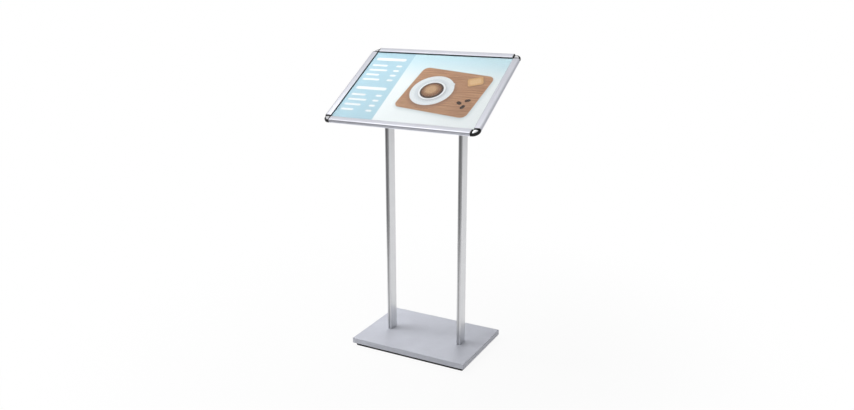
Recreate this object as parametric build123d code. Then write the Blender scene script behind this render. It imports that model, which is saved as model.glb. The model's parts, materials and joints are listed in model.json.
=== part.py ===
from build123d import *

import os
from math import cos, radians, sin, tan

# A slanted snap-frame poster stand, in millimetres. The origin is on the floor under the middle of
# the base, X runs to the right, Y away from the reader and Z up.

# Printed sheet, A2 landscape, and what lies with it
sheet_width = 594
sheet_height = 420
poster_thickness = 0.3
cover_sheet_thickness = 0.5
panel_thickness = 1.2
panel_border = 1

# Snap frame, leaning back from the reader
sheet_margin = 15
frame_tilt = 31
frame_rear_y = -34
frame_rear_z = 1025
frame_depth = 13
rail_width = 25

# Section of the back rails
rail_wall = 1.2
outer_wall_height = 4.3
trough_width = 4.8
seat_height = 4.8
lid_overhang = 3
nut_slot = 7
keeper_width = 0.6
keeper_height = 1
keeper_gap = 0.1

# Hinge between the back rails and the snap rails
bead_radius = 1.4
hinge_clearance = 0.08
knuckle_wall = 1.1
knuckle_gap = 0.3
knuckle_start = 5
knuckle_end = 195
neck_thickness = 1.2

# Section of the snap rails
lid_wall = 1.2
lip_wall = 1.4
lip_gap = 0.1
inner_edge_height = 11.5
skirt_drop = 0.3
seal_thickness = 0.8
seal_drop = 0.6

# Leaf springs
spring_thickness = 0.5
spring_radius = 2.4
spring_curl = 120
spring_length = 30
spring_gap = 0.3
springs_long_side = 4
springs_short_side = 3

# Corners
corner_leg = 30
end_gap = 0.3
cap_crest_inset = 16
cap_crest_rise = 3.8
cap_inner_rise = 2
cap_wall = 1.4
cap_fit = 0.1
joint_flange = 1
joint_plate = 2
joint_plate_inset = 0.4
joint_leg_reach = 40
joint_leg_fit = 0.1
peg_radius = 2
peg_fit = 0.1
peg_inset = 11
peg_end_gap = 0.5
grub_radius = 2
grub_fit = 0.1
grub_reach = 20

# Carrier straps behind the frame
strap_width = 40
strap_thickness = 4
strap_end = 4
strap_corner = 6

# Posts
post_spacing = 311
post_y = -8
post_width = 17
post_depth = 46
post_bulge = 0.5
post_wall = 1.6
post_corner = 1.5
flute_width = 6
flute_depth = 2.5
port_wall = 1.8
port_spacing = 24

# Bent brackets behind the posts
bracket_width = 15
bracket_thickness = 3
bracket_bend = 4
bracket_leg = 62
bracket_screw_first = 24
bracket_screw_pitch = 24

# Base
base_width = 490
base_depth = 340
cover_height = 21
cover_sheet_metal = 1.5
cover_bend = 2.5
cover_seam = 0.8
cover_seam_reach = 9
core_fit = 0.3
ballast_inset = 10
ballast_thickness = 10
ballast_corner = 4
mat_inset = 1
mat_thickness = 3

# Fasteners, whose shanks are hidden and have few sides
shank_sides = 8
bolt_radius = 4
bolt_head_radius = 6.5
bolt_head_height = 4.4
bolt_grip = 36
bolt_clearance = 0.5
port_fit = 0.1
counterbore_radius = 7.5
counterbore_depth = 5
screw_radius = 2.5
screw_head_radius = 4.5
screw_head_height = 2.6
screw_head_bevel = 0.8
screw_fit = 0.1
screw_past_wall = 0.8
nut_length = 20
nut_fit = 0.15
screw_tip_gap = 0.2

# Sizes that follow
frame_width = sheet_width + 2 * sheet_margin
frame_height = sheet_height + 2 * sheet_margin
long_rail = frame_width - 2 * corner_leg
short_rail = frame_height - 2 * corner_leg
poster_level = seat_height + panel_thickness
cover_level = poster_level + poster_thickness
lip_level = cover_level + cover_sheet_thickness + lip_gap
cap_end = corner_leg - end_gap - joint_plate - cap_fit
cap_outer_height = seat_height + cap_fit
cap_ceiling = lip_level + cap_fit
cap_sheet_inset = rail_width - (rail_width - sheet_margin + panel_border) / cos(radians(45)) - cap_fit
channel_start = rail_wall + trough_width
channel_end = rail_width - lid_overhang
channel_middle = (channel_start + channel_end) / 2
channel_ceiling = seat_height - rail_wall
bore_radius = bead_radius + hinge_clearance
knuckle_radius = bore_radius + knuckle_wall
hinge_height = outer_wall_height + knuckle_gap + knuckle_radius
ballast_level = mat_thickness + ballast_thickness
base_top = ballast_level + cover_height
post_rear = post_y + post_depth / 2
port_radius = bolt_radius + port_fit
post_screw_depth = flute_depth + post_wall + screw_past_wall
slope = Pos(0, frame_rear_y, frame_rear_z) * Rot(frame_tilt, 0, 0)

# Each side of the frame: its turn from the bottom side, its reach from the middle, its length and springs
sides = {
    "bottom": (0, frame_height / 2, long_rail, springs_long_side),
    "right": (90, frame_width / 2, short_rail, springs_short_side),
    "top": (180, frame_height / 2, long_rail, springs_long_side),
    "left": (270, frame_width / 2, short_rail, springs_short_side),
}
# Each corner: its turn from the bottom left corner and the signs of its place
corners = {
    "bottom_left": (0, -1, -1),
    "bottom_right": (90, 1, -1),
    "top_right": (180, 1, 1),
    "top_left": (270, -1, 1),
}
posts = {"left": -post_spacing / 2, "right": post_spacing / 2}


def area(left, low, right, high):
    # Rectangle between two corners
    return Pos((left + right) / 2, (low + high) / 2) * Rectangle(right - left, high - low)


def on_side(side, shape):
    # Moves a shape from the bottom edge, drawn with its outer edge on X, to a side of the slanted frame
    turn, reach = sides[side][:2]
    return slope * Rot(0, 0, turn) * Pos(0, -reach, 0) * shape


def on_corner(corner, shape):
    turn, sign_x, sign_y = corners[corner]
    return slope * Pos(sign_x * frame_width / 2, sign_y * frame_height / 2) * Rot(0, 0, turn) * shape


def along_rail(section, length):
    return extrude(Plane.YZ * section, amount=length / 2, both=True)


def level_rod(radius, low, high):
    return Pos(0, 0, low) * extrude(Circle(radius), amount=high - low)


def shank(radius, low, high):
    return Pos(0, 0, low) * extrude(RegularPolygon(radius, shank_sides), amount=high - low)


def pan_head_screw(length):
    # Screw down from the origin, with its head above it
    head = level_rod(screw_head_radius, 0, screw_head_height)
    head = chamfer(head.edges().group_by(Axis.Z)[-1], screw_head_bevel)
    return head + shank(screw_radius, -length, 0)


def back_rail_section():
    walls = [
        area(0, 0, rail_wall, outer_wall_height),
        area(0, 0, channel_middle - nut_slot / 2, rail_wall),
        area(channel_start, 0, channel_start + rail_wall, seat_height),
        area(channel_start, channel_ceiling, channel_end, seat_height),
        area(channel_end - rail_wall, 0, channel_end, seat_height),
        area(channel_middle + nut_slot / 2, 0, channel_end, rail_wall),
    ]
    keeper_end = sheet_margin - panel_border - keeper_gap
    walls.append(area(keeper_end - keeper_width, seat_height, keeper_end, seat_height + keeper_height))
    bead = Vector(knuckle_radius, hinge_height)
    root = Vector(channel_start + rail_wall / 2, seat_height - rail_wall / 2)
    along = (root - bead).normalized()
    across = Vector(-along.Y, along.X) * neck_thickness / 2
    neck = make_face(Polyline(bead + across, root + across, root - across, bead - across, close=True))
    return Sketch() + walls + [neck, Pos(bead.X, bead.Y) * Circle(bead_radius)]


def crown_area(inset, foot, edge, lip):
    # What lies under the rounded top of a snap rail, from its outer side to its inner edge
    shoulder = frame_depth - hinge_height
    crest = (shoulder, frame_depth - inset)
    inner = (edge, inner_edge_height - inset)
    start = (inset, hinge_height)
    half_turn = (shoulder - inset) * cos(radians(45))
    middle = (shoulder - half_turn, hinge_height + half_turn)
    outline = Curve() + [
        Line((inset, foot), start),
        ThreePointArc(start, middle, crest),
        TangentArc(crest, inner, tangent=(1, 0)),
        Polyline(inner, (edge, lip), (shoulder, lip), (shoulder, foot), (inset, foot)),
    ]
    return make_face(outline)


def knuckle_section():
    # Open ring that wraps the hinge bead
    far = 3 * knuckle_radius
    turns = [knuckle_end, (knuckle_end + knuckle_start + 360) / 2, knuckle_start]
    mouth = Polyline((0, 0), *[(far * cos(radians(a)), far * sin(radians(a))) for a in turns], close=True)
    return Pos(knuckle_radius, hinge_height) * (Circle(knuckle_radius) - make_face(mouth))


def snap_rail_section():
    foot = hinge_height - skirt_drop
    edge = rail_width - seal_thickness
    crown = crown_area(0, foot, edge, lip_level)
    under = crown_area(lid_wall, foot - lid_wall, edge - lip_wall, lip_level - lid_wall)
    solid_shoulder = crown & area(0, foot, knuckle_radius, frame_depth)
    bore = Pos(knuckle_radius, hinge_height) * Circle(bore_radius)
    return crown - under + solid_shoulder + knuckle_section() - bore


def edge_seal_section():
    # Soft strip on the inner face of a snap rail's lip
    return area(rail_width - seal_thickness, lip_level, rail_width, inner_edge_height - seal_drop)


def rail_springs(side):
    # Leaf springs, each with a foot on the seat and a curl beside the knuckle
    length, count = sides[side][2:]
    bend_middle = 2 * knuckle_radius + spring_gap + spring_radius
    foot_end = sheet_margin - panel_border - 2 * keeper_gap - keeper_width
    foot = area(bend_middle, seat_height, foot_end, seat_height + spring_thickness)
    ring = Circle(spring_radius) - Circle(spring_radius - spring_thickness)
    far = 3 * spring_radius
    turns = [270, 270 - spring_curl / 2, 270 - spring_curl]
    wedge = Polyline((0, 0), *[(far * cos(radians(a)), far * sin(radians(a))) for a in turns], close=True)
    curl = Pos(bend_middle, seat_height + spring_radius) * (ring & make_face(wedge))
    leaf = along_rail(foot + curl, spring_length)
    pitch = length / count
    return [on_side(side, Pos(pitch * (i - (count - 1) / 2)) * leaf) for i in range(count)]


def corner_outline(inset):
    # Corner of the frame seen from the front, with its outer corner at the origin
    middle = rail_width - (rail_width - inset) * cos(radians(45))
    end = corner_leg - end_gap
    outer = Curve() + [
        ThreePointArc((inset, rail_width), (middle, middle), (rail_width, inset)),
        Polyline((rail_width, inset), (end, inset), (end, channel_end), (channel_end, channel_end)),
        Polyline((channel_end, channel_end), (channel_end, end), (inset, end), (inset, rail_width)),
    ]
    return make_face(outer)


def end_plate_section():
    # Closes the end of a snap rail, just inside its outline and clear of the sheets
    inset = joint_plate_inset
    crown = crown_area(inset, joint_flange, rail_width - inset, lip_level)
    return crown + area(inset, joint_flange, sheet_margin - panel_border - keeper_gap, lip_level)


def corner_joint():
    # Moulded elbow under a cap, with an end plate and a leg into the channel for each rail
    flange = extrude(corner_outline(0), amount=joint_flange)
    block = extrude(corner_outline(cap_wall + cap_fit), amount=seat_height - joint_flange)
    block = Pos(0, 0, joint_flange) * block
    leg_section = area(
        channel_start + rail_wall + joint_leg_fit,
        rail_wall + joint_leg_fit,
        channel_end - rail_wall - joint_leg_fit,
        channel_ceiling - joint_leg_fit,
    )
    leg_length = corner_leg + joint_leg_reach - channel_end
    leg = Pos(channel_end) * extrude(Plane.YZ * leg_section, amount=leg_length)
    plate = Pos(cap_end + cap_fit) * extrude(Plane.YZ * end_plate_section(), amount=joint_plate)
    arm = leg + plate
    arms = arm + mirror(arm, Plane((0, 0, 0), z_dir=(1, -1, 0)))
    hole = level_rod(grub_radius + grub_fit, 0, seat_height)
    holes = [Pos(*spot) * hole for spot in grub_spots()]
    peg_hole = Pos(peg_inset, peg_inset) * level_rod(peg_radius + peg_fit, joint_flange, seat_height)
    return flange + block + arms - holes - peg_hole


def grub_spots():
    along = corner_leg + grub_reach
    return [(along, channel_middle), (channel_middle, along)]


def corner_screws(corner):
    # Grub screws that jam the elbow's legs in the channels
    grub = shank(grub_radius, rail_wall + joint_leg_fit, channel_ceiling)
    return [on_corner(corner, Pos(*spot) * grub) for spot in grub_spots()]


def cap_section():
    # Low dome that falls from its crest to the outer side
    crest = (cap_crest_inset, cap_ceiling + cap_crest_rise)
    outer = (0, cap_outer_height)
    inner = (rail_width, cap_ceiling + cap_inner_rise)
    outline = Curve() + [
        TangentArc(crest, outer, tangent=(-1, 0)),
        TangentArc(crest, inner, tangent=(1, 0)),
        Polyline(inner, (rail_width, lip_level), (cap_crest_inset, lip_level)),
        Polyline((cap_crest_inset, lip_level), (cap_crest_inset, joint_flange), (0, joint_flange), outer),
    ]
    over_block = area(cap_wall, joint_flange, rail_width - lip_wall, cap_outer_height)
    over_sheets = area(cap_sheet_inset, joint_flange, rail_width - lip_wall, cap_ceiling)
    return make_face(outline) - over_block - over_sheets


def corner_cap():
    # Chromed shell: the dome turned a quarter round the corner, with a short straight run at each end
    drawn = Pos(rail_width) * (Plane.YZ * cap_section())
    straight = extrude(drawn, amount=cap_end - rail_width)
    turned = revolve(drawn, Axis((rail_width, rail_width, 0), (0, 0, -1)), 90)
    other = mirror(straight, Plane((0, 0, 0), z_dir=(1, -1, 0)))
    peg = Pos(peg_inset, peg_inset) * shank(peg_radius, joint_flange + peg_end_gap, cap_ceiling)
    return straight + turned + other + peg


def flat_sheet(width, height, level, thickness):
    return slope * Pos(0, 0, level + thickness / 2) * Box(width, height, thickness)


def strap_screw_levels():
    # Distance up the slope of each strap's rail screws
    return [-(frame_height / 2 - channel_middle), frame_height / 2 - channel_middle]


def slope_point(y, level):
    # Distance up the slope of the point of the level plane that lies over a given Y
    return (y - frame_rear_y + level * sin(radians(frame_tilt))) / cos(radians(frame_tilt))


def bracket_slope_levels():
    start = slope_point(post_rear, -strap_thickness)
    return [start + bracket_screw_first + i * bracket_screw_pitch for i in range(2)]


def bracket_post_heights():
    return [corner_of_post()[1] - bracket_screw_first - i * bracket_screw_pitch for i in range(2)]


def corner_of_post():
    # Where the rear face of a post meets the underside of its strap, as Y and Z
    rise = (post_rear - frame_rear_y) * tan(radians(frame_tilt))
    return post_rear, frame_rear_z + rise - strap_thickness / cos(radians(frame_tilt))


def carrier_strap(x):
    height = frame_height - 2 * strap_end
    bar = extrude(RectangleRounded(strap_width, height, strap_corner), amount=-strap_thickness)
    hole = level_rod(screw_radius + screw_fit, -strap_thickness, 0)
    bar -= [Pos(0, spot) * hole for spot in strap_screw_levels() + bracket_slope_levels()]
    return slope * Pos(x) * bar


def head_bracket(x):
    # Bent angle: one leg down the rear of the post, one up the slope under the strap
    y, z = corner_of_post()
    up = Vector(cos(radians(frame_tilt)), sin(radians(frame_tilt)))
    inward = Vector(up.Y, -up.X)
    bend = Vector(y, z)
    reach = bracket_thickness * tan(radians(90 - (90 + frame_tilt) / 2))
    inner = bend + up * reach + inward * bracket_thickness
    points = [
        bend,
        bend + up * bracket_leg,
        bend + up * bracket_leg + inward * bracket_thickness,
        inner,
        bend + Vector(bracket_thickness, -bracket_leg),
        bend + Vector(0, -bracket_leg),
    ]
    profile = make_face(Polyline(*points, close=True))
    angle = extrude(Plane.YZ * profile, amount=bracket_width / 2, both=True)
    at_bend = angle.edges().filter_by(Axis.X).sort_by_distance(Vector(0, inner.X, inner.Y))
    angle = fillet(at_bend[0], bracket_bend)
    hole = level_rod(screw_radius + screw_fit, -bracket_thickness, 0)
    post_holes = [Pos(0, y, height) * Rot(90, 0, 0) * hole for height in bracket_post_heights()]
    strap_holes = [slope * Pos(0, spot, -strap_thickness) * hole for spot in bracket_slope_levels()]
    return Pos(x) * (angle - post_holes - strap_holes)


def bracket_post_screws(x):
    screw = Rot(-90, 0, 0) * pan_head_screw(bracket_thickness + post_screw_depth)
    return [Pos(x, post_rear + bracket_thickness, height) * screw for height in bracket_post_heights()]


def bracket_strap_screws(x):
    screw = Rot(180, 0, 0) * pan_head_screw(bracket_thickness + strap_thickness)
    level = -strap_thickness - bracket_thickness
    return [slope * Pos(x, spot, level) * screw for spot in bracket_slope_levels()]


def strap_rail_screws(x):
    screw = Rot(180, 0, 0) * pan_head_screw(strap_thickness + channel_ceiling - screw_tip_gap)
    return [slope * Pos(x, spot, -strap_thickness) * screw for spot in strap_screw_levels()]


def rail_nuts(x):
    # Plate nuts that slide in the channels of the top and bottom back rails
    width = channel_end - channel_start - 2 * rail_wall - 2 * nut_fit
    height = channel_ceiling - rail_wall - nut_fit
    plate = Pos(0, 0, rail_wall + height / 2) * Box(nut_length, width, height)
    plate -= level_rod(screw_radius + screw_fit, 0, channel_ceiling)
    return [slope * Pos(x, spot) * plate for spot in strap_screw_levels()]


def post_outline():
    # Gently convex sides, rounded corners and a flute down the front and the rear
    half_width = post_width / 2
    half_depth = post_depth / 2
    edge = half_width - post_bulge
    right = ThreePointArc((edge, -half_depth), (half_width, 0), (edge, half_depth))
    left = ThreePointArc((-edge, half_depth), (-half_width, 0), (-edge, -half_depth))
    rear = Line((edge, half_depth), (-edge, half_depth))
    front = Line((-edge, -half_depth), (edge, -half_depth))
    outline = make_face(Curve() + [right, rear, left, front])
    outline = fillet(outline.vertices(), post_corner)
    flutes = [Pos(0, sign * half_depth) * Rectangle(flute_width, 2 * flute_depth) for sign in (-1, 1)]
    return outline - flutes


def post(x):
    hollow_depth = post_depth - 2 * (flute_depth + post_wall)
    section = post_outline() - Rectangle(post_width - 2 * (post_bulge + post_wall), hollow_depth)
    for sign in (-1, 1):
        middle = sign * port_spacing / 2
        rib = Pos(0, middle) * Rectangle(post_width - 2 * post_bulge - post_wall, port_wall)
        section += [rib, Pos(0, middle) * Circle(port_radius + port_wall)]
    section -= [Pos(0, sign * port_spacing / 2) * Circle(port_radius) for sign in (-1, 1)]
    tube = Pos(x, post_y, base_top) * extrude(section, amount=frame_rear_z)
    cutter = Box(frame_width, frame_rear_z, 2 * frame_rear_z)
    cutter = slope * Pos(x, 0, frame_rear_z - strap_thickness) * cutter
    hole = level_rod(screw_radius + screw_fit, 0, post_screw_depth)
    drilled = [Pos(x, post_rear, height) * Rot(90, 0, 0) * hole for height in bracket_post_heights()]
    return tube - cutter - drilled


def post_bolt_spots():
    return [(x, post_y + sign * port_spacing / 2) for x in posts.values() for sign in (-1, 1)]


def post_bolts():
    seat = mat_thickness + counterbore_depth
    head = level_rod(bolt_head_radius, seat - bolt_head_height, seat)
    bolt = head + shank(bolt_radius, seat, base_top + bolt_grip)
    return [Pos(*spot) * bolt for spot in post_bolt_spots()]


def bolt_holes(low, high):
    hole = level_rod(bolt_radius + bolt_clearance, low, high)
    return [Pos(*spot) * hole for spot in post_bolt_spots()]


def base_cover():
    # Folded tray with its rim down and an open seam at each corner
    lower = ballast_level
    tray = Pos(0, 0, lower) * extrude(Rectangle(base_width, base_depth), amount=cover_height)
    tray = fillet(tray.edges().group_by(Axis.Z)[-1], cover_bend)
    inside = Rectangle(base_width - 2 * cover_sheet_metal, base_depth - 2 * cover_sheet_metal)
    tray -= Pos(0, 0, lower) * extrude(inside, amount=cover_height - cover_sheet_metal)
    seam_height = cover_height - cover_bend
    for sign_x in (-1, 1):
        for sign_y in (-1, 1):
            cut = Rot(0, 0, 45 * sign_x * sign_y) * Box(cover_seam_reach, cover_seam, seam_height)
            tray -= Pos(sign_x * base_width / 2, sign_y * base_depth / 2, lower + seam_height / 2) * cut
    return tray - bolt_holes(lower, base_top)


def base_core():
    side = 2 * (cover_sheet_metal + core_fit)
    board = extrude(Rectangle(base_width - side, base_depth - side), amount=cover_height - cover_sheet_metal)
    return Pos(0, 0, ballast_level) * board - bolt_holes(ballast_level, base_top)


def ballast_plate():
    side = 2 * ballast_inset
    outline = RectangleRounded(base_width - side, base_depth - side, ballast_corner)
    plate = Pos(0, 0, mat_thickness) * extrude(outline, amount=ballast_thickness)
    bore = level_rod(counterbore_radius, mat_thickness, mat_thickness + counterbore_depth)
    plate -= [Pos(*spot) * bore for spot in post_bolt_spots()]
    return plate - bolt_holes(mat_thickness, ballast_level)


def anti_slip_mat():
    side = 2 * (ballast_inset + mat_inset)
    outline = RectangleRounded(base_width - side, base_depth - side, ballast_corner)
    return extrude(outline, amount=mat_thickness)


def for_each_post(maker):
    return [solid for x in posts.values() for solid in maker(x)]


def stand_nodes():
    nodes = {
        "anti_slip_mat": anti_slip_mat(),
        "ballast_plate": ballast_plate(),
        "base_core": base_core(),
        "base_cover": base_cover(),
        "post_bolts": post_bolts(),
        "bracket_post_screws": for_each_post(bracket_post_screws),
        "bracket_strap_screws": for_each_post(bracket_strap_screws),
        "strap_rail_screws": for_each_post(strap_rail_screws),
        "rail_nuts": for_each_post(rail_nuts),
    }
    for name, x in posts.items():
        nodes[f"{name}_post"] = post(x)
        nodes[f"{name}_head_bracket"] = head_bracket(x)
        nodes[f"{name}_carrier_strap"] = carrier_strap(x)
    return nodes


def frame_nodes():
    border = 2 * panel_border
    nodes = {
        "back_panel": flat_sheet(sheet_width + border, sheet_height + border, seat_height, panel_thickness),
        "poster": flat_sheet(sheet_width, sheet_height, poster_level, poster_thickness),
        "cover_sheet": flat_sheet(sheet_width, sheet_height, cover_level, cover_sheet_thickness),
        "corner_screws": [screw for corner in corners for screw in corner_screws(corner)],
    }
    for side in sides:
        length = sides[side][2]
        nodes[f"{side}_back_rail"] = on_side(side, along_rail(back_rail_section(), length))
        nodes[f"{side}_snap_rail"] = on_side(side, along_rail(snap_rail_section(), length))
        nodes[f"{side}_edge_seal"] = on_side(side, along_rail(edge_seal_section(), length))
        nodes[f"{side}_rail_springs"] = rail_springs(side)
    for corner in corners:
        nodes[f"{corner}_corner_joint"] = on_corner(corner, corner_joint())
        nodes[f"{corner}_corner_cap"] = on_corner(corner, corner_cap())
    return nodes


os.makedirs("parts", exist_ok=True)
for node, shape in {**stand_nodes(), **frame_nodes()}.items():
    solids = shape if isinstance(shape, list) else [shape]
    group = Compound([solid for piece in solids for solid in piece.solids()])
    export_step(group, f"parts/{node}.step")
    print(node, len(group.solids()), round(group.volume))
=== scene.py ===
import json
import math

import bpy
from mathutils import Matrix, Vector

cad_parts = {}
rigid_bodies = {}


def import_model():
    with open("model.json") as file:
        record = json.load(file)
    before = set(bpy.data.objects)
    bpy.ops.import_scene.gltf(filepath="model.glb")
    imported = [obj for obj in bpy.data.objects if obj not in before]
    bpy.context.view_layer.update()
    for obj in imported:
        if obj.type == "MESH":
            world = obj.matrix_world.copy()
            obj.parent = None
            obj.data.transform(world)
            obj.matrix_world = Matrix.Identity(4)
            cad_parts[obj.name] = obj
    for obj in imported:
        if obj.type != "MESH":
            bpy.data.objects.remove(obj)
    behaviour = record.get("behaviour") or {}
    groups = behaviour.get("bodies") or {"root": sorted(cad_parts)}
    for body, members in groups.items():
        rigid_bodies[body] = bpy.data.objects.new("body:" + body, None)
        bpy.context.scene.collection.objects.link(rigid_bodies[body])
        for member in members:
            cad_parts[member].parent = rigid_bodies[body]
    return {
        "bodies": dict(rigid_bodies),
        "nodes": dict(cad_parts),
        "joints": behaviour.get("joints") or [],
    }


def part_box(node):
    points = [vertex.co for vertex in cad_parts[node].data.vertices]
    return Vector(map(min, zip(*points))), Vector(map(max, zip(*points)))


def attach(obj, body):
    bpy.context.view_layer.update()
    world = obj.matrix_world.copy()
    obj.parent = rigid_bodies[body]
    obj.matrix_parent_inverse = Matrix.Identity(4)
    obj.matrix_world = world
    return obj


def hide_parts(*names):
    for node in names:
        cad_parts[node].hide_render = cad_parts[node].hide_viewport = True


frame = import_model()
cadNodes = frame["nodes"]
known = list(cadNodes.values()) + list(frame["bodies"].values())
for leftOver in [o for o in bpy.data.objects if o not in known]:
    bpy.data.objects.remove(leftOver)
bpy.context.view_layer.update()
scene = bpy.context.scene
scene.view_settings.view_transform = "Standard"
sideNames = ("bottom", "right", "top", "left")
cornerNames = ("bottom_left", "bottom_right", "top_right", "top_left")
postNames = ("left", "right")
hingeAxis = next(Vector(j["axis"]) for j in frame["joints"] if j["name"] == "right_rail_hinge")
frameTilt = math.atan2(hingeAxis.z, hingeAxis.y)  # lean of the snap frame
frameRear = Vector((0, -0.034, 1.025))  # middle of the frame's rear face
print("frame loaded,", len(cadNodes), "nodes, tilt", round(math.degrees(frameTilt), 2))


# small helpers for node trees
pureWhite = (1.0, 1.0, 1.0, 1.0)
mostNoise = (0.25, 0.75)  # span that holds most values of a noise
midNoise = (0.3, 0.7)
wideNoise = (0.2, 0.8)


def newLook(name):
    look = bpy.data.materials.new(name)
    look.use_nodes = True
    tree = look.node_tree
    return look, tree, tree.nodes["Principled BSDF"]


def addNode(tree, kind, **settings):
    node = tree.nodes.new("ShaderNode" + kind)
    for key, value in settings.items():
        if hasattr(node, key):
            setattr(node, key, value)
        else:
            node.inputs[key.replace("_", " ")].default_value = value
    return node


def join(tree, start, end):
    tree.links.new(start, end)


def placedCoords(tree, place=(0, 0, 0), turn=(0, 0, 0), size=(1, 1, 1)):
    # object coordinates measured from a place, along turned axes, in units of size
    coords = addNode(tree, "TexCoord")
    spot = addNode(tree, "Mapping", vector_type="TEXTURE", Location=place, Rotation=turn, Scale=size)
    join(tree, coords.outputs["Object"], spot.inputs["Vector"])
    return spot.outputs["Vector"]


def noise(tree, size, turn=(0, 0, 0), detail=3.0):
    # one size for all ways, or three for a grain that runs along a bar
    sizes = size if isinstance(size, (tuple, list)) else (size,) * 3
    vector = placedCoords(tree, turn=turn, size=sizes)
    node = addNode(tree, "TexNoise", Scale=1.0, Detail=detail, Roughness=0.55)
    join(tree, vector, node.inputs["Vector"])
    return node.outputs["Fac"]


def cells(tree, size):
    # a random colour for each cell
    vector = placedCoords(tree, size=(size,) * 3)
    pattern = addNode(tree, "TexVoronoi", feature="F1")
    join(tree, vector, pattern.inputs["Vector"])
    parts = addNode(tree, "SeparateColor")
    join(tree, pattern.outputs["Color"], parts.inputs["Color"])
    return parts.outputs


def calc(tree, operation, *values):
    # a maths node: numbers go on its sockets, and outputs of other nodes are linked
    node = addNode(tree, "Math", operation=operation)
    for socket, value in zip(node.inputs, values):
        if isinstance(value, bpy.types.NodeSocket):
            join(tree, value, socket)
        else:
            socket.default_value = value
    return node.outputs[0]


def vectorCalc(tree, operation, vector, other=None, output="Vector"):
    node = addNode(tree, "VectorMath", operation=operation)
    join(tree, vector, node.inputs[0])
    if other is not None:
        node.inputs[1].default_value = other
    return node.outputs[output]


def axes(tree, vector):
    node = addNode(tree, "SeparateXYZ")
    join(tree, vector, node.inputs[0])
    return node.outputs


def mapValue(tree, value, low, high, start=0.0, end=1.0, smooth=False):
    node = addNode(tree, "MapRange")
    node.interpolation_type = "SMOOTHSTEP" if smooth else "LINEAR"
    join(tree, value, node.inputs["Value"])
    for name, number in (("From Min", start), ("From Max", end), ("To Min", low), ("To Max", high)):
        node.inputs[name].default_value = number
    return node.outputs["Result"]


def mixColour(tree, factor, under, over, mode="MIX"):
    node = addNode(tree, "Mix", data_type="RGBA", blend_type=mode)
    colourSockets = [s for s in node.inputs if s.type == "RGBA"]
    for socket, value in zip([node.inputs[0]] + colourSockets, (factor, under, over)):
        if isinstance(value, bpy.types.NodeSocket):
            join(tree, value, socket)
        else:
            socket.default_value = value if isinstance(value, float) else (*value, 1.0)
    return next(s for s in node.outputs if s.type == "RGBA")


def addBump(tree, shader, height, distance, strength):
    node = addNode(tree, "Bump", Strength=strength, Distance=distance)
    join(tree, height, node.inputs["Height"])
    join(tree, node.outputs["Normal"], shader.inputs["Normal"])


def blendShaders(tree, factor, first, second, output):
    blend = addNode(tree, "MixShader")
    for socket, value in zip(blend.inputs, (factor, first, second)):
        join(tree, value, socket)
    join(tree, blend.outputs[0], tree.nodes[output].inputs["Surface"])


def dress(name, look):
    for slot in cadNodes[name].material_slots:
        slot.material = look


# silver anodised aluminium with fine drawn lines along the bar
anodised = dict(
    railTones=((0.67, 0.68, 0.74), (0.77, 0.78, 0.85)),
    postTones=((0.60, 0.605, 0.62), (0.70, 0.705, 0.72)),
    rough=(0.25, 0.36),
    lineLength=0.3,
    lineWidth=0.0012,
    lineShare=0.6,
    lineDepth=0.0002,
    lineBump=0.15,
    cloudSize=0.05,
    cloudShare=0.4,
)


def anodisedLook(name, along, turn, tones, grooveShade=None):
    look, tree, shader = newLook(name)
    size = [anodised["lineWidth"]] * 3
    size[along] = anodised["lineLength"]
    lines = noise(tree, size, turn)
    clouds = noise(tree, anodised["cloudSize"], turn, detail=2.0)
    lineTone = mapValue(tree, lines, 0.0, anodised["lineShare"], *mostNoise)
    cloudTone = mapValue(tree, clouds, 0.0, anodised["cloudShare"], *mostNoise)
    colour = mixColour(tree, calc(tree, "ADD", lineTone, cloudTone), *tones)
    if grooveShade:
        # painted shade: the anodised colour darkened inside the flutes
        colour = mixColour(tree, grooveShade(tree), colour, fluteShade["tone"])
    join(tree, colour, shader.inputs["Base Color"])
    join(tree, mapValue(tree, lines, *anodised["rough"], *wideNoise), shader.inputs["Roughness"])
    shader.inputs["Metallic"].default_value = 1.0
    addBump(tree, shader, lines, anodised["lineDepth"], anodised["lineBump"])
    return look


# flutes down the posts, with painted shade darkening the inside of each
fluteShade = dict(
    tone=(0.47, 0.47, 0.48),
    edge=(0.0029, 0.0031),  # half its width
    floor=(0.0190, 0.0200),  # from the post's middle
)


# one inside each flute, where the painted shade goes
def fluteShadeMask(tree):
    low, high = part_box("right_post")
    middle = (low + high) / 2
    folded = axes(tree, vectorCalc(tree, "ABSOLUTE", placedCoords(tree, place=(0, middle.y, 0))))
    aside = calc(tree, "ABSOLUTE", calc(tree, "SUBTRACT", folded["X"], middle.x))
    inWidth = mapValue(tree, aside, 1.0, 0.0, *fluteShade["edge"])
    nearFace = mapValue(tree, folded["Y"], 0.0, 1.0, *fluteShade["floor"])
    return calc(tree, "MULTIPLY", inWidth, nearFace)


railLooks = {
    "long": anodisedLook("anodisedLongRails", 0, (frameTilt, 0, 0), anodised["railTones"]),
    "short": anodisedLook("anodisedShortRails", 1, (frameTilt, 0, 0), anodised["railTones"]),
}
postLook = anodisedLook("anodisedPostsFluteShade", 2, (0, 0, 0), anodised["postTones"], fluteShadeMask)
for side in sideNames:
    railLook = railLooks["long" if side in ("bottom", "top") else "short"]
    dress(side + "_snap_rail", railLook)
    dress(side + "_back_rail", railLook)
for side in postNames:
    dress(side + "_post", postLook)
print("rails and posts anodised")


# chromed caps, with black painted over the foot and ends of each bend as a painted dark reflection
cap = dict(
    chrome=(0.83, 0.84, 0.86),
    paintedDarkReflection=(0.010, 0.010, 0.012),
    gloss=0.3,
    rough=(0.03, 0.10),
    smudgeSize=0.012,
    smudgeSpan=(0.35, 0.75),
    bendMiddle=(0.287, 0.200, 0.0),  # from the sheet's middle
    crown=((0.0035, 0.0050), (0.0174, 0.0192)),  # its inner and outer edge
    ends=(0.0016, 0.0032),
)


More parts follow.
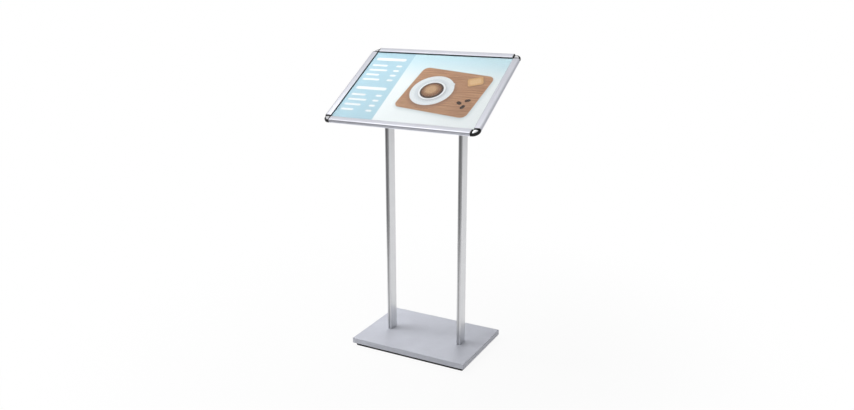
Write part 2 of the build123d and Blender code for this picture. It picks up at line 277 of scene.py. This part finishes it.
def capCrown(tree):
    # one on the chromed crown, by the distance from the middle of each bend; none where the painted dark
    # reflection goes
    low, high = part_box("back_panel")
    local = placedCoords(tree, place=(low + high) / 2, turn=(frameTilt, 0, 0))
    beyond = vectorCalc(tree, "SUBTRACT", vectorCalc(tree, "ABSOLUTE", local), cap["bendMiddle"])
    flat = vectorCalc(tree, "MULTIPLY", beyond, (1, 1, 0))
    parts = axes(tree, flat)
    fromEnd = calc(tree, "MINIMUM", parts["X"], parts["Y"])
    reach = vectorCalc(tree, "LENGTH", flat, output="Value")
    inner, outer = cap["crown"]
    rise = mapValue(tree, reach, 0.0, 1.0, *inner, smooth=True)
    fall = mapValue(tree, reach, 1.0, 0.0, *outer, smooth=True)
    clear = mapValue(tree, fromEnd, 0.0, 1.0, *cap["ends"], smooth=True)
    return calc(tree, "MULTIPLY", calc(tree, "MULTIPLY", rise, fall), clear)


def capLook():
    look, tree, shader = newLook("chromeCapsPaintedDark")
    crown = capCrown(tree)
    smudges = noise(tree, cap["smudgeSize"], detail=4.0)
    join(tree, mapValue(tree, smudges, *cap["rough"], *cap["smudgeSpan"]), shader.inputs["Roughness"])
    # painted dark reflection: black off the crown, chrome left on it
    join(tree, mixColour(tree, crown, cap["paintedDarkReflection"], cap["chrome"]), shader.inputs["Base Color"])
    join(tree, crown, shader.inputs["Metallic"])
    shader.inputs["Specular IOR Level"].default_value = cap["gloss"]
    return look


capFinish = capLook()
for corner in cornerNames:
    dress(corner + "_corner_cap", capFinish)
print("corner caps finished")


# silver powder coat: fine flakes and a slight orange peel
powder = dict(
    tones=((0.555, 0.57, 0.635), (0.69, 0.71, 0.785)),
    rough=(0.36, 0.50),
    metal=0.15,
    flakeSize=0.0007,
    flakeShare=0.6,
    cloudSize=0.08,
    cloudShare=0.4,
    peelSize=0.0016,
    peelDepth=0.0002,
    peelBump=0.2,
)


def powderLook():
    look, tree, shader = newLook("silverPowderCoat")
    flakes = cells(tree, powder["flakeSize"])
    clouds = noise(tree, powder["cloudSize"], detail=2.0)
    cloudTone = mapValue(tree, clouds, 0.0, powder["cloudShare"], *midNoise)
    tone = calc(tree, "MULTIPLY_ADD", flakes["Red"], powder["flakeShare"], cloudTone)
    join(tree, mixColour(tree, tone, *powder["tones"]), shader.inputs["Base Color"])
    join(tree, mapValue(tree, flakes["Green"], *powder["rough"]), shader.inputs["Roughness"])
    shader.inputs["Metallic"].default_value = powder["metal"]
    peel = noise(tree, powder["peelSize"], detail=2.0)
    addBump(tree, shader, peel, powder["peelDepth"], powder["peelBump"])
    return look


dress("base_cover", powderLook())
print("base cover powder coated")


# zinc plated steel with a faint crystal pattern
zinc = dict(
    tones=((0.50, 0.51, 0.53), (0.66, 0.67, 0.68)),
    rough=(0.30, 0.46),
    crystalSize=0.006,
    grainSize=0.001,
    grainDepth=0.0001,
    grainBump=0.1,
)
fastenerNames = (
    "post_bolts",
    "bracket_post_screws",
    "bracket_strap_screws",
    "strap_rail_screws",
    "rail_nuts",
    "corner_screws",
)


def zincLook():
    look, tree, shader = newLook("zincPlatedSteel")
    crystals = cells(tree, zinc["crystalSize"])
    join(tree, mixColour(tree, crystals["Red"], *zinc["tones"]), shader.inputs["Base Color"])
    join(tree, mapValue(tree, crystals["Green"], *zinc["rough"]), shader.inputs["Roughness"])
    shader.inputs["Metallic"].default_value = 1.0
    grain = noise(tree, zinc["grainSize"])
    addBump(tree, shader, grain, zinc["grainDepth"], zinc["grainBump"])
    return look


steelLook = zincLook()
for side in postNames:
    dress(side + "_head_bracket", steelLook)
    dress(side + "_carrier_strap", steelLook)
for name in fastenerNames:
    dress(name, steelLook)
print("steel parts plated")


# button head screws with hexagon sockets, in place of the plain ones
screw = dict(
    headRadius=0.0045,
    headHeight=0.0026,
    crown=0.0012,
    rim=0.0005,
    socketRadius=0.0017,
    socketDepth=0.0015,
    socketSides=6,
    shankRadius=0.0024,
    sides=24,
    smoothAngle=40,
)
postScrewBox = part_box("bracket_post_screws")
# ups run along the slope from the middle of the frame's rear face, and level stands off it
screwRows = {
    "bracket_post_screws": dict(length=0.0079, seat=postScrewBox[1].y - screw["headHeight"]),
    "bracket_strap_screws": dict(length=0.0070, ups=(0.07876, 0.10276), level=-0.007),
    "strap_rail_screws": dict(length=0.0074, ups=(-0.211, 0.211), level=-0.004),
}
screwAside = postScrewBox[1].x - screw["headRadius"]
openEdges = dict(use_multi_face=False, use_non_contiguous=False, use_verts=False)
flatFace = 0.9  # least share of a flat face's normal along the screw


def pickFaces(piece, test):
    bpy.ops.object.mode_set(mode="EDIT")
    bpy.ops.mesh.select_mode(type="FACE")
    bpy.ops.mesh.select_all(action="DESELECT")
    bpy.ops.object.mode_set(mode="OBJECT")
    for face in piece.data.polygons:
        face.select = test(face)
    bpy.ops.object.mode_set(mode="EDIT")


def makeScrew(length):
    top = screw["headHeight"]
    bpy.ops.object.select_all(action="DESELECT")
    bpy.ops.mesh.primitive_cylinder_add(vertices=screw["sides"], radius=screw["headRadius"], depth=top)
    piece = bpy.context.object
    pickFaces(piece, lambda face: face.normal.z > flatFace)
    bpy.ops.mesh.bevel(offset=screw["crown"], segments=4, affect="EDGES")
    pickFaces(piece, lambda face: face.normal.z > flatFace and len(face.vertices) > 4)
    bpy.ops.mesh.inset(thickness=screw["rim"])
    bpy.ops.mesh.delete(type="ONLY_FACE")
    bpy.ops.mesh.select_mode(type="EDGE")
    bpy.ops.mesh.primitive_circle_add(
        vertices=screw["socketSides"],
        radius=screw["socketRadius"],
        location=(0, 0, top / 2),
    )
    bpy.ops.mesh.select_non_manifold(extend=True, **openEdges)
    bpy.ops.mesh.bridge_edge_loops()
    bpy.ops.mesh.select_all(action="DESELECT")
    bpy.ops.mesh.select_non_manifold(use_wire=False, **openEdges)
    bpy.ops.mesh.extrude_region_move(TRANSFORM_OT_translate={"value": (0, 0, -screw["socketDepth"])})
    bpy.ops.mesh.edge_face_add()
    pickFaces(piece, lambda face: face.normal.z < -flatFace and len(face.vertices) > screw["socketSides"])
    bpy.ops.mesh.inset(thickness=screw["headRadius"] - screw["shankRadius"])
    bpy.ops.mesh.extrude_region_move(TRANSFORM_OT_translate={"value": (0, 0, -length)})
    bpy.ops.mesh.select_all(action="SELECT")
    bpy.ops.mesh.normals_make_consistent(inside=False)
    bpy.ops.transform.translate(value=(0, 0, top / 2))
    bpy.ops.mesh.select_mode(type="VERT")
    bpy.ops.object.mode_set(mode="OBJECT")
    bpy.ops.object.shade_smooth_by_angle(angle=math.radians(screw["smoothAngle"]))
    return piece


def screwSpots(row):
    # where the head sits, and the turn about X that faces it outwards
    if "seat" in row:
        heights = [postScrewBox[1].z - screw["headRadius"], postScrewBox[0].z + screw["headRadius"]]
        return [Vector((0, row["seat"], height)) for height in heights], math.radians(-90)
    upSlope = Vector((0, math.cos(frameTilt), math.sin(frameTilt)))
    outward = Vector((0, -math.sin(frameTilt), math.cos(frameTilt)))
    spots = [frameRear + upSlope * up + outward * row["level"] for up in row["ups"]]
    return spots, frameTilt + math.pi


def makeScrewRow(name, row):
    pattern = makeScrew(row["length"])
    spots, turn = screwSpots(row)
    copies = []
    for spot in spots:
        for sign in (-1, 1):
            bpy.ops.object.select_all(action="DESELECT")
            pattern.select_set(True)
            bpy.context.view_layer.objects.active = pattern
            bpy.ops.object.duplicate()
            copy = bpy.context.object
            copy.location = spot + Vector((sign * screwAside, 0, 0))
            copy.rotation_euler = (turn, 0, 0)
            bpy.ops.object.transform_apply(location=True, rotation=True, scale=True)
            copies.append(copy)
    bpy.data.objects.remove(pattern)
    for copy in copies:
        copy.select_set(True)
    bpy.context.view_layer.objects.active = copies[0]
    bpy.ops.object.join()
    screws = bpy.context.object
    screws.name = "socket_" + name
    screws.data.materials.append(steelLook)
    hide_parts(name)
    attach(screws, "stand")


for name, row in screwRows.items():
    makeScrewRow(name, row)
print("socket screws in")


# plain dull finishes, all with a grain and soft clouds in their tone
dull = dict(grainTone=(0.0, 1.4), grainDepth=0.0003, cloudSize=0.04, cloudTone=(0.4, 1.0))
dullFinishes = {
    "blackPaint": dict(
        tones=((0.004, 0.004, 0.005), (0.012, 0.012, 0.013)),
        rough=(0.55, 0.7),
        grain=0.002,
        bump=0.15,
        gloss=0.2,
    ),
    "matRubber": dict(
        tones=((0.006, 0.006, 0.006), (0.020, 0.020, 0.020)),
        rough=(0.7, 0.9),
        grain=0.003,
        bump=0.4,
        gloss=0.1,
    ),
    "sealRubber": dict(
        tones=((0.02, 0.021, 0.023), (0.04, 0.042, 0.045)),
        rough=(0.55, 0.7),
        grain=0.002,
        bump=0.1,
    ),
    "mouldedBlack": dict(
        tones=((0.015, 0.015, 0.016), (0.04, 0.04, 0.042)),
        rough=(0.45, 0.6),
        grain=0.0008,
        bump=0.25,
    ),
    "whiteSheet": dict(
        tones=((0.74, 0.75, 0.76), (0.82, 0.83, 0.84)),
        rough=(0.4, 0.55),
        grain=0.0015,
        bump=0.1,
    ),
    "springSteel": dict(
        tones=((0.22, 0.23, 0.25), (0.36, 0.37, 0.40)),
        rough=(0.25, 0.4),
        grain=0.004,
        bump=0.05,
        metal=1.0,
    ),
    "fibreBoard": dict(
        tones=((0.26, 0.18, 0.11), (0.42, 0.31, 0.20)),
        rough=(0.8, 0.95),
        grain=0.0012,
        bump=0.4,
    ),
}


def dullLook(name):
    finish = dullFinishes[name]
    look, tree, shader = newLook(name)
    grain = noise(tree, finish["grain"], detail=4.0)
    clouds = noise(tree, dull["cloudSize"], detail=2.0)
    grainTone = mapValue(tree, grain, *dull["grainTone"], *mostNoise)
    cloudTone = mapValue(tree, clouds, *dull["cloudTone"], *midNoise)
    tone = calc(tree, "MULTIPLY", grainTone, cloudTone)
    join(tree, mixColour(tree, tone, *finish["tones"]), shader.inputs["Base Color"])
    join(tree, mapValue(tree, grain, *finish["rough"], *mostNoise), shader.inputs["Roughness"])
    shader.inputs["Metallic"].default_value = finish.get("metal", 0.0)
    shader.inputs["Specular IOR Level"].default_value = finish.get("gloss", 0.5)
    addBump(tree, shader, grain, dull["grainDepth"], finish["bump"])
    return look


dress("ballast_plate", dullLook("blackPaint"))
dress("anti_slip_mat", dullLook("matRubber"))
dress("base_core", dullLook("fibreBoard"))
dress("back_panel", dullLook("whiteSheet"))
sealLook = dullLook("sealRubber")
jointLook = dullLook("mouldedBlack")
springLook = dullLook("springSteel")
for side in sideNames:
    dress(side + "_edge_seal", sealLook)
    dress(side + "_rail_springs", springLook)
for corner in cornerNames:
    dress(corner + "_corner_joint", jointLook)
print("dull finishes on")


# clear cover sheet with a faint haze
clearSheet = dict(tint=(0.99, 0.995, 0.995, 1.0), rough=(0.28, 0.4), hazeSize=0.02, ior=1.3)


def clearLook():
    look, tree, shader = newLook("clearCoverSheet")
    tree.nodes.remove(shader)
    clear = addNode(tree, "BsdfTransparent", Color=clearSheet["tint"])
    gloss = addNode(tree, "BsdfGlossy", Color=pureWhite)
    haze = noise(tree, clearSheet["hazeSize"])
    join(tree, mapValue(tree, haze, *clearSheet["rough"], *mostNoise), gloss.inputs["Roughness"])
    edge = addNode(tree, "Fresnel", IOR=clearSheet["ior"])
    blendShaders(tree, edge.outputs[0], clear.outputs[0], gloss.outputs[0], "Material Output")
    return look


dress("cover_sheet", clearLook())


# printed sheet: pale ground, a column of plain bars, and a cup on a wooden tray
printing = dict(
    ground=((-0.20, (0.93, 0.965, 0.975)), (0.02, (0.92, 0.955, 0.96)), (0.20, (0.66, 0.85, 0.91))),
    column=dict(place=(-0.215, 0.0), half=(0.100, 0.24), radius=0.001, colour=(0.52, 0.73, 0.82)),
    barColour=(0.94, 0.96, 0.97),
    headings=dict(across=-0.205, half=(0.066, 0.0085), levels=(0.158, -0.022)),
    rows=dict(
        start=-0.271,
        half=(0.040, 0.0055),
        levels=(0.118, 0.089, 0.060, 0.031, -0.062, -0.091, -0.120, -0.149),
        cuts=(0.012, 0.0, 0.022, 0.006, 0.018, 0.0, 0.010, 0.026),
    ),
    rowEnds=dict(across=-0.152, half=(0.013, 0.0055)),
    tray=dict(place=(0.095, -0.012), half=(0.150, 0.118), radius=0.024, turn=-7.0),
    woods=((0.40, 0.20, 0.10), (0.66, 0.39, 0.22)),
    woodGrain=(0.16, 0.006, 0.1),
    trayShade=dict(
        place=(0.098, -0.020),
        half=(0.150, 0.118),
        radius=0.030,
        turn=-7.0,
        soft=0.016,
        strength=0.5,
    ),
    shadeColour=(0.30, 0.38, 0.42),
    fibreSize=0.0006,
    fibreTone=(0.96, 1.0),
    fibreDepth=0.0001,
    fibreBump=0.1,
    rough=(0.42, 0.6),
)
onTray = (
    # saucer on its shadow
    dict(place=(0.048, -0.018), radius=0.088, soft=0.014, colour=(0.22, 0.11, 0.06), strength=0.6),
    dict(place=(0.045, -0.010), radius=0.084, colour=(0.84, 0.87, 0.89)),
    dict(place=(0.045, -0.010), radius=0.066, soft=0.004, colour=(0.74, 0.78, 0.81)),
    # cup: handle, shadow, rim, and the drink in three tones
    dict(place=(0.101, 0.024), half=(0.022, 0.0085), radius=0.0085, turn=31.0, colour=(0.80, 0.83, 0.85)),
    dict(place=(0.048, -0.013), radius=0.054, soft=0.006, colour=(0.45, 0.46, 0.47), strength=0.7),
    dict(place=(0.045, -0.010), radius=0.052, colour=(0.90, 0.92, 0.93)),
    dict(place=(0.045, -0.010), radius=0.045, colour=(0.050, 0.020, 0.010)),
    dict(place=(0.043, -0.008), radius=0.037, soft=0.006, colour=(0.32, 0.15, 0.065)),
    dict(place=(0.040, -0.005), radius=0.024, soft=0.009, colour=(0.62, 0.40, 0.22)),
    # biscuit on its shadow
    dict(
        place=(0.195, 0.052),
        half=(0.030, 0.024),
        radius=0.010,
        turn=22.0,
        soft=0.006,
        colour=(0.20, 0.10, 0.05),
        strength=0.6,
    ),
    dict(place=(0.193, 0.055), half=(0.029, 0.023), radius=0.009, turn=22.0, colour=(0.72, 0.45, 0.20)),
    dict(
        place=(0.193, 0.055),
        half=(0.021, 0.015),
        radius=0.007,
        turn=22.0,
        soft=0.004,
        colour=(0.80, 0.56, 0.30),
    ),
    # three beans
    dict(place=(0.178, -0.068), half=(0.011, 0.007), radius=0.007, turn=-35.0, colour=(0.045, 0.018, 0.009)),
    dict(place=(0.205, -0.052), half=(0.011, 0.007), radius=0.007, turn=20.0, colour=(0.060, 0.024, 0.012)),
    dict(place=(0.199, -0.088), half=(0.011, 0.007), radius=0.007, turn=70.0, colour=(0.038, 0.016, 0.008)),
)


def shapeMask(tree, local, place, radius, half=(0.0, 0.0), turn=0.0, soft=0.0012, strength=1.0):
    # one inside a round-cornered box, a disc where its half sizes are none
    spot = addNode(tree, "Mapping", vector_type="TEXTURE", Location=(*place, 0))
    spot.inputs["Rotation"].default_value = (0, 0, math.radians(turn))
    join(tree, local, spot.inputs["Vector"])
    flat = vectorCalc(tree, "MULTIPLY", spot.outputs["Vector"], (1, 1, 0))
    straight = [max(side - radius, 0) for side in half]
    beyond = vectorCalc(tree, "SUBTRACT", vectorCalc(tree, "ABSOLUTE", flat), (*straight, 0))
    outside = vectorCalc(tree, "MAXIMUM", beyond)
    reach = vectorCalc(tree, "LENGTH", outside, output="Value")
    return mapValue(tree, reach, strength, 0.0, radius - soft, radius + soft, smooth=True)


def paintShapes(tree, local, ground, shapes):
    for shape in shapes:
        form = {key: value for key, value in shape.items() if key != "colour"}
        ground = mixColour(tree, shapeMask(tree, local, **form), ground, shape["colour"])
    return ground


def paintGround(tree, local):
    up = axes(tree, local)["Y"]
    (low, pale), (middle, fair), (high, deep) = printing["ground"]
    lower = mapValue(tree, up, 0.0, 1.0, low, middle, smooth=True)
    upper = mapValue(tree, up, 0.0, 1.0, middle, high, smooth=True)
    return mixColour(tree, upper, mixColour(tree, lower, pale, fair), deep)


def barShape(across, level, half):
    return dict(place=(across, level), half=half, radius=half[1], colour=printing["barColour"])


def paintColumn(tree, local, ground):
    headings, rows, ends = printing["headings"], printing["rows"], printing["rowEnds"]
    shapes = [printing["column"]]
    for level in headings["levels"]:
        shapes.append(barShape(headings["across"], level, headings["half"]))
    for level, cut in zip(rows["levels"], rows["cuts"]):
        halfLong = rows["half"][0] - cut / 2
        shapes.append(barShape(rows["start"] + halfLong, level, (halfLong, rows["half"][1])))
        shapes.append(barShape(ends["across"], level, ends["half"]))
    return paintShapes(tree, local, ground, shapes)


def paintTray(tree, local, ground):
    shadeMask = shapeMask(tree, local, **printing["trayShade"])
    shade = mixColour(tree, shadeMask, ground, printing["shadeColour"])
    grain = noise(tree, printing["woodGrain"], (frameTilt, 0, 0), detail=5.0)
    wood = mixColour(tree, mapValue(tree, grain, 0.0, 1.0, *midNoise), *printing["woods"])
    board = mixColour(tree, shapeMask(tree, local, **printing["tray"]), shade, wood)
    return paintShapes(tree, local, board, onTray)


def printLook():
    look, tree, shader = newLook("printedSheet")
    low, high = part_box("poster")
    local = placedCoords(tree, place=(low + high) / 2, turn=(frameTilt, 0, 0))
    picture = paintTray(tree, local, paintColumn(tree, local, paintGround(tree, local)))
    fibres = noise(tree, printing["fibreSize"], detail=4.0)
    tooth = mapValue(tree, fibres, *printing["fibreTone"], *midNoise)
    join(tree, mixColour(tree, 1.0, picture, tooth, mode="MULTIPLY"), shader.inputs["Base Color"])
    join(tree, mapValue(tree, fibres, *printing["rough"], *midNoise), shader.inputs["Roughness"])
    addBump(tree, shader, fibres, printing["fibreDepth"], printing["fibreBump"])
    return look


dress("poster", printLook())
print("sheets on")


# studio: pale floor, white background, soft lamps, and a surround and cards that only mirrors see
studio = dict(
    ambient=0.18,
    floorColour=(0.75, 0.75, 0.75),
    floorRough=0.9,
    floorRadius=9.0,
    nearGlow=0.93,  # share of white near the stand, full further out
    fade=(0.5, 1.6),
)
lamps = {
    "softBox": dict(place=(-1.0, -0.55, 3.0), aim=(-1.0, -0.55, 0.0), size=1.6, power=11, mirrored=True),
    "leftBox": dict(place=(-2.5, 0.2, 2.7), aim=(0, 0, 0.2), size=3.2, power=22, mirrored=False),
    "skyLamp": dict(place=(-1.1, -0.4, 3.7), aim=(0, 0, 0.0), size=2.6, power=62, mirrored=False),
    "sideLamp": dict(place=(-2.4, -0.72, 2.1), aim=(0, 0, 0.3), size=0.9, power=18, mirrored=False),
    "backLamp": dict(place=(-0.5, 1.2, 1.6), aim=(0, 0, 0.0), size=0.8, power=10, mirrored=False),
}
surround = dict(radius=5.0, floorGap=0.001, tones=((0.0, 0.12), (0.28, 0.14), (0.42, 0.60), (1.0, 0.80)))
cards = {
    "frontCard": dict(radius=1.25, height=0.74, start=330.0, sweep=180.0, steps=24, tone=0.37),
    "rearCard": dict(radius=4.5, height=1.7, start=95.0, sweep=65.0, steps=12, tone=0.72),
}


def seenRays(tree):
    # one for rays that show the background: straight, mirrored or through glass
    path = addNode(tree, "LightPath").outputs
    seenOrMirrored = calc(tree, "MAXIMUM", path["Is Camera Ray"], path["Is Glossy Ray"])
    return calc(tree, "MAXIMUM", seenOrMirrored, path["Is Transmission Ray"])


def makeWorld():
    world = bpy.data.worlds.new("whiteStudio")
    scene.world = world
    world.use_nodes = True
    tree = world.node_tree
    soft = tree.nodes["Background"]
    soft.inputs["Color"].default_value = pureWhite
    soft.inputs["Strength"].default_value = studio["ambient"]
    white = addNode(tree, "Background", Color=pureWhite, Strength=1.0)
    blendShaders(tree, seenRays(tree), soft.outputs[0], white.outputs[0], "World Output")


def makeFloor():
    bpy.ops.object.select_all(action="DESELECT")
    bpy.ops.mesh.primitive_circle_add(
        vertices=64,
        radius=studio["floorRadius"],
        fill_type="NGON",
        location=(0, 0, 0),
    )
    floor = bpy.context.object
    floor.name = "studioFloor"
    look, tree, shader = newLook("paleFloor")
    shader.inputs["Base Color"].default_value = (*studio["floorColour"], 1.0)
    shader.inputs["Roughness"].default_value = studio["floorRough"]
    shader.inputs["Specular IOR Level"].default_value = 0.0
    glow = addNode(tree, "Emission", Color=pureWhite, Strength=1.0)
    reach = vectorCalc(tree, "LENGTH", placedCoords(tree), output="Value")
    fade = mapValue(tree, reach, studio["nearGlow"], 1.0, *studio["fade"], smooth=True)
    share = calc(tree, "MULTIPLY", fade, seenRays(tree))
    blendShaders(tree, share, shader.outputs[0], glow.outputs[0], "Material Output")
    floor.data.materials.append(look)


def makeLamps():
    for name, lamp in lamps.items():
        data = bpy.data.lights.new(name, "AREA")
        data.shape = "SQUARE"
        data.size = lamp["size"]
        data.energy = lamp["power"]
        light = bpy.data.objects.new(name, data)
        scene.collection.objects.link(light)
        light.location = lamp["place"]
        light.visible_glossy = lamp["mirrored"]
        aim = Vector(lamp["aim"]) - Vector(lamp["place"])
        light.rotation_euler = aim.to_track_quat("-Z", "Y").to_euler()


def glowLook(name):
    look, tree, shader = newLook(name)
    tree.nodes.remove(shader)
    glow = addNode(tree, "Emission", Strength=1.0)
    join(tree, glow.outputs[0], tree.nodes["Material Output"].inputs["Surface"])
    return look, tree, glow


def onlyMirrored(card):
    card.visible_camera = False
    card.visible_diffuse = False
    card.visible_shadow = False
    card.visible_transmission = False


def makeSurround():
    # half a globe round the studio, dark along the floor line and paler above
    bpy.ops.object.select_all(action="DESELECT")
    bpy.ops.mesh.primitive_uv_sphere_add(
        segments=48,
        ring_count=24,
        radius=surround["radius"],
        location=(0, 0, 0),
    )
    globe = bpy.context.object
    globe.name = "surround"
    bpy.ops.object.mode_set(mode="EDIT")
    bpy.ops.mesh.select_all(action="SELECT")
    bpy.ops.mesh.bisect(plane_co=(0, 0, surround["floorGap"]), plane_no=(0, 0, 1), clear_inner=True)
    bpy.ops.object.mode_set(mode="OBJECT")
    look, tree, glow = glowLook("surround")
    height = axes(tree, placedCoords(tree, size=(surround["radius"],) * 3))["Z"]
    ramp = addNode(tree, "ValToRGB")
    stops = ramp.color_ramp.elements
    while len(stops) < len(surround["tones"]):
        stops.new(0.5)
    for stop, (level, tone) in zip(stops, surround["tones"]):
        stop.position = level
        stop.color = (tone, tone, tone, 1.0)
    join(tree, height, ramp.inputs["Fac"])
    join(tree, ramp.outputs["Color"], glow.inputs["Color"])
    globe.data.materials.append(look)
    onlyMirrored(globe)


def makeCard(name, card):
    # bent card: a dark one low round the front, and a pale one behind on the right
    bpy.ops.object.select_all(action="DESELECT")
    bpy.ops.mesh.primitive_plane_add(size=1.0, location=(0, 0, 0))
    sheet = bpy.context.object
    sheet.name = name
    bpy.ops.object.mode_set(mode="EDIT")
    bpy.ops.mesh.select_mode(type="VERT")
    bpy.ops.mesh.select_all(action="SELECT")
    bpy.ops.mesh.delete(type="ONLY_FACE")
    bpy.ops.mesh.select_all(action="SELECT")
    bpy.ops.mesh.merge(type="CENTER")
    turn = math.radians(card["start"])
    reach = Vector((math.cos(turn), math.sin(turn), 0)) * card["radius"]
    bpy.ops.transform.translate(value=reach)
    bpy.ops.mesh.extrude_region_move(TRANSFORM_OT_translate={"value": (0, 0, card["height"])})
    bpy.ops.mesh.select_all(action="SELECT")
    sweep = math.radians(card["sweep"])
    bpy.ops.mesh.spin(steps=card["steps"], angle=sweep, center=(0, 0, 0), axis=(0, 0, 1))
    bpy.ops.object.mode_set(mode="OBJECT")
    look, tree, glow = glowLook(name)
    glow.inputs["Color"].default_value = (*[card["tone"]] * 3, 1.0)
    sheet.data.materials.append(look)
    onlyMirrored(sheet)


makeWorld()
makeFloor()
makeLamps()
makeSurround()
for name, card in cards.items():
    makeCard(name, card)
print("studio lit")


# camera where the photograph was taken from
viewPoint = dict(place=(1.32735, -2.52153, 1.40030), azimuth=27.735, pitch=16.133, lens=32.44)


def makeCamera():
    data = bpy.data.cameras.new("photoCamera")
    data.lens = viewPoint["lens"]
    camera = bpy.data.objects.new("photoCamera", data)
    scene.collection.objects.link(camera)
    camera.location = viewPoint["place"]
    tip = math.radians(90 - viewPoint["pitch"])
    camera.rotation_euler = (tip, 0, math.radians(viewPoint["azimuth"]))
    scene.camera = camera


makeCamera()
